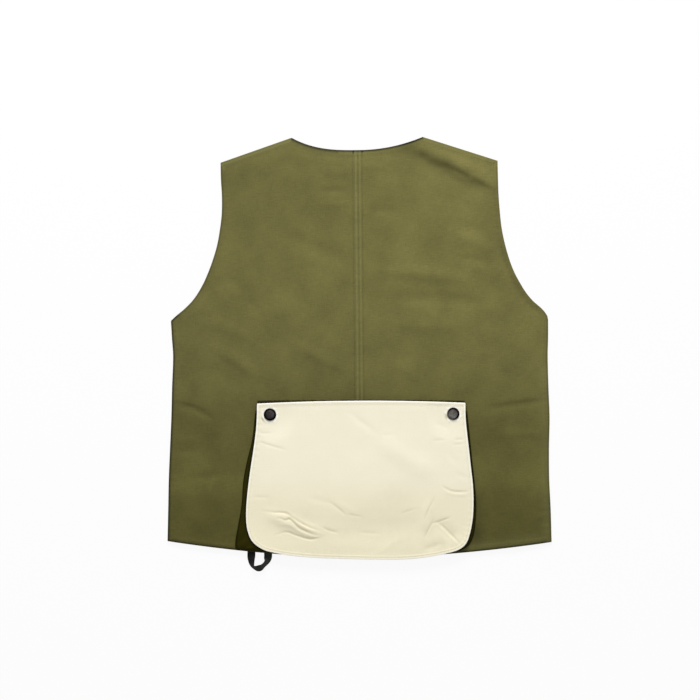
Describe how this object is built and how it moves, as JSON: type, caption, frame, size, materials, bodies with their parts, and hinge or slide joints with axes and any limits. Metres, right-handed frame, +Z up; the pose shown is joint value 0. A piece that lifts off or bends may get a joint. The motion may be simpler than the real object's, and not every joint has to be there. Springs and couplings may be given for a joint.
{
  "type": "hunting vest",
  "caption": "Sleeveless collarless hunting vest laid flat with its back up, with a wide snap-fastened game pouch across the lower back and a tape loop at the hem.",
  "frame": {"origin": "on the surface the vest lies on, under the middle of its bounding box", "axes": "+X to the vest's left-to-right as seen from above, +Y from the hem to the neck, +Z up off the surface, out of the vest's back"},
  "size_m": [0.5564, 0.6295, 0.0162],
  "materials": {
    "olive_cloth": "olive cotton canvas, matt, fine plain weave",
    "cream_cloth": "cream lightweight canvas, matt, lightly creased",
    "gunmetal": "dark gunmetal snap cap, satin",
    "black_tape": "black ribbed cotton tape"
  },
  "bodies": {
    "root": {"front_left": "olive_cloth", "front_right": "olive_cloth", "back_left": "olive_cloth", "back_right": "olive_cloth", "pouch_panel": "cream_cloth", "pouch_gusset": "olive_cloth", "snap_cap_left": "gunmetal", "snap_cap_right": "gunmetal", "snap_stud_left": "gunmetal", "snap_stud_right": "gunmetal", "hem_loop": "black_tape"}
  },
  "joints": []
}
